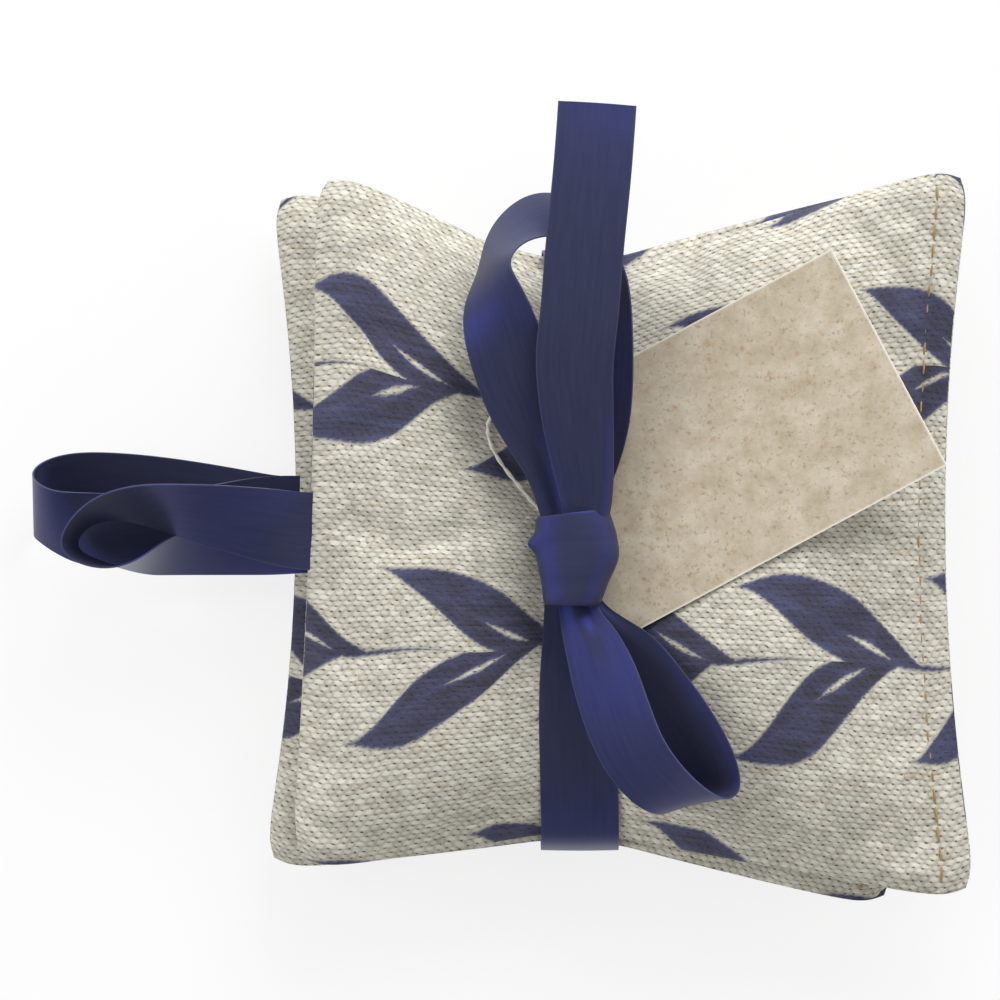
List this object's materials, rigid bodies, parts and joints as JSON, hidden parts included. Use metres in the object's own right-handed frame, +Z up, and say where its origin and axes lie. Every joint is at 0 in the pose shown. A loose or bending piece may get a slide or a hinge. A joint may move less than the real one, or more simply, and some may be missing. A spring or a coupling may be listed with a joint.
{
  "type": "lavender sachet bundle",
  "caption": "Leaf-print cloth lavender sachets stacked and tied with a satin ribbon bow, each with a hanging loop in its side seam and a plain card tag under the knot.",
  "frame": {"origin": "under the middle of the bundle, on the surface it lies on", "axes": "+Z up out of the front faces, +X from the hanging loops to the closing edges, +Y to the end where the long ribbon tail points"},
  "size_m": [0.1812, 0.152, 0.0505],
  "materials": {
    "printed_cloth": "matte",
    "lavender_buds": "matte",
    "sewing_thread": "matte",
    "satin_ribbon": "satin",
    "tag_card": "matte",
    "cotton_string": "matte"
  },
  "bodies": {
    "tied_sachets": {"front_sachet_front_panel": "printed_cloth", "front_sachet_back_panel": "printed_cloth", "front_sachet_lavender_filling": "lavender_buds", "front_sachet_seam_thread": "sewing_thread", "front_sachet_needle_thread": "sewing_thread", "front_sachet_bobbin_thread": "sewing_thread", "rear_sachet_front_panel": "printed_cloth", "rear_sachet_back_panel": "printed_cloth", "rear_sachet_lavender_filling": "lavender_buds", "rear_sachet_seam_thread": "sewing_thread", "rear_sachet_needle_thread": "sewing_thread", "rear_sachet_bobbin_thread": "sewing_thread", "tie_band": "satin_ribbon", "bow_knot": "satin_ribbon", "tag_string": "cotton_string"},
    "rear_loop": {"rear_hang_loop": "satin_ribbon"},
    "front_loop": {"front_hang_loop": "satin_ribbon"},
    "tail": {"ribbon_tail": "satin_ribbon"},
    "upper_bow_loop": {"bow_loop_upper": "satin_ribbon"},
    "lower_bow_loop": {"bow_loop_lower": "satin_ribbon"},
    "tag": {"tag_card": "tag_card"}
  },
  "joints": [
    {"name": "rear_loop_lift", "type": "hinge", "parent": "tied_sachets", "child": "rear_loop", "pos_m": [-0.0397, -0.0025, 0.0084], "axis": [0, 1, 0], "range_deg": [0, 50], "stiffness_Nm_per_rad": 0.0004},
    {"name": "front_loop_lift", "type": "hinge", "parent": "tied_sachets", "child": "front_loop", "pos_m": [-0.0362, -0.0064, 0.0216], "axis": [0, 1, 0], "range_deg": [0, 85]},
    {"name": "tail_lift", "type": "hinge", "parent": "tied_sachets", "child": "tail", "pos_m": [0.01756, -0.00228, 0.0391], "axis": [1, 0, 0], "range_deg": [0, 70], "stiffness_Nm_per_rad": 0.0004},
    {"name": "upper_bow_loop_swing", "type": "hinge", "parent": "tied_sachets", "child": "upper_bow_loop", "pos_m": [0.0085, -0.0041, 0.0365], "axis": [0, 0, 1], "range_deg": [0, 12], "stiffness_Nm_per_rad": 0.0004},
    {"name": "lower_bow_loop_lift", "type": "hinge", "parent": "tied_sachets", "child": "lower_bow_loop", "pos_m": [0.01635, -0.02258, 0.0365], "axis": [-0.8336, -0.5524, 0], "range_deg": [0, 35], "stiffness_Nm_per_rad": 0.0004},
    {"name": "tag_swing", "type": "hinge", "parent": "tied_sachets", "child": "tag", "pos_m": [0.00965, 0.01102, 0.0309], "axis": [-0.1051, -0.0559, 0.9929], "range_deg": [0, 8]}
  ],
  "couplings": [
    {"joint": "front_loop_lift", "follows": "rear_loop_lift", "ratio": 1.7}
  ]
}
